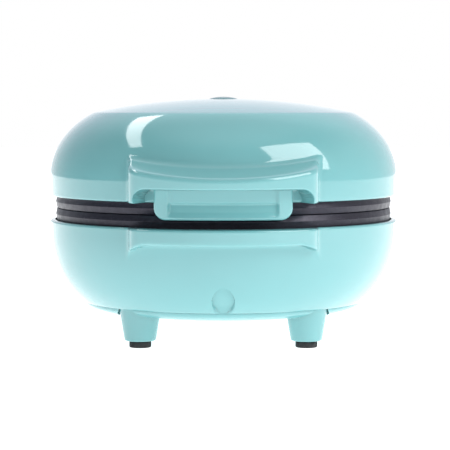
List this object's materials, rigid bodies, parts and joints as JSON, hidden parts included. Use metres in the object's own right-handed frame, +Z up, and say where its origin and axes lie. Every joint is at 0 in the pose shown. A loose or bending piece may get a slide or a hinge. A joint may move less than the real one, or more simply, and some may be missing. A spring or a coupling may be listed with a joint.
{
  "type": "mini donut maker",
  "caption": "Round two-shell donut maker with a rear-hinged lid, ring-cavity non-stick plates, a front handle with a finger tab, and feet with rubber pads.",
  "frame": {"origin": "on the surface that the feet stand on, midway between the handle's front and the hinge's back", "axes": "+Z up, the handle faces -Y, +X to the right seen from the front; the lid is shut"},
  "size_m": [0.1302, 0.155, 0.0905],
  "materials": {
    "mint_plastic": "high-gloss moulded mint green",
    "nonstick_plate": "cast aluminium with a black non-stick coating",
    "heater_sheath": "oxidised steel tube",
    "pressed_aluminium": "bright pressed sheet",
    "plated_steel": "zinc plated",
    "black_rubber": "matt",
    "white_nylon": "satin",
    "lamp_lens": "translucent smoky green",
    "lamp_glass": "clear neon lamp",
    "lead_sleeve": "woven glass-fibre sleeve"
  },
  "bodies": {
    "base": {"lower_shell": "mint_plastic", "bottom_cover": "mint_plastic", "lower_plate": "nonstick_plate", "lower_heater": "heater_sheath", "lower_reflector": "pressed_aluminium", "thermal_fuse": "pressed_aluminium", "hinge_pin": "plated_steel", "case_screw_1": "plated_steel", "case_screw_2": "plated_steel", "case_screw_3": "plated_steel", "cover_screw_1": "plated_steel", "cover_screw_2": "plated_steel", "cover_screw_3": "plated_steel", "lower_reflector_screw_1": "plated_steel", "lower_reflector_screw_2": "plated_steel", "lower_reflector_screw_3": "plated_steel", "cord_gland": "black_rubber", "rubber_foot_front_left": "black_rubber", "rubber_foot_front_right": "black_rubber", "rubber_foot_rear_left": "black_rubber", "rubber_foot_rear_right": "black_rubber", "terminal_block": "white_nylon", "gland_nut": "white_nylon", "lower_heater_lead_left": "lead_sleeve", "lower_heater_lead_right": "lead_sleeve"},
    "lid": {"upper_shell": "mint_plastic", "handle_guard": "mint_plastic", "upper_plate": "nonstick_plate", "upper_heater": "heater_sheath", "upper_reflector": "pressed_aluminium", "thermostat": "white_nylon", "indicator_lens": "lamp_lens", "lamp_holder": "white_nylon", "indicator_lamp": "lamp_glass", "upper_heater_lead_left": "lead_sleeve", "upper_heater_lead_right": "lead_sleeve", "lamp_lead_left": "lead_sleeve", "lamp_lead_right": "lead_sleeve", "guard_screw_left": "plated_steel", "guard_screw_right": "plated_steel", "upper_reflector_screw_1": "plated_steel", "upper_reflector_screw_2": "plated_steel", "upper_reflector_screw_3": "plated_steel", "upper_plate_screw_1": "plated_steel", "upper_plate_screw_2": "plated_steel", "upper_plate_screw_3": "plated_steel"}
  },
  "joints": [
    {"name": "lid_hinge", "type": "hinge", "parent": "base", "child": "lid", "pos_m": [0, 0.073, 0.04925], "axis": [-1, 0, 0], "range_deg": [0, 95]}
  ]
}
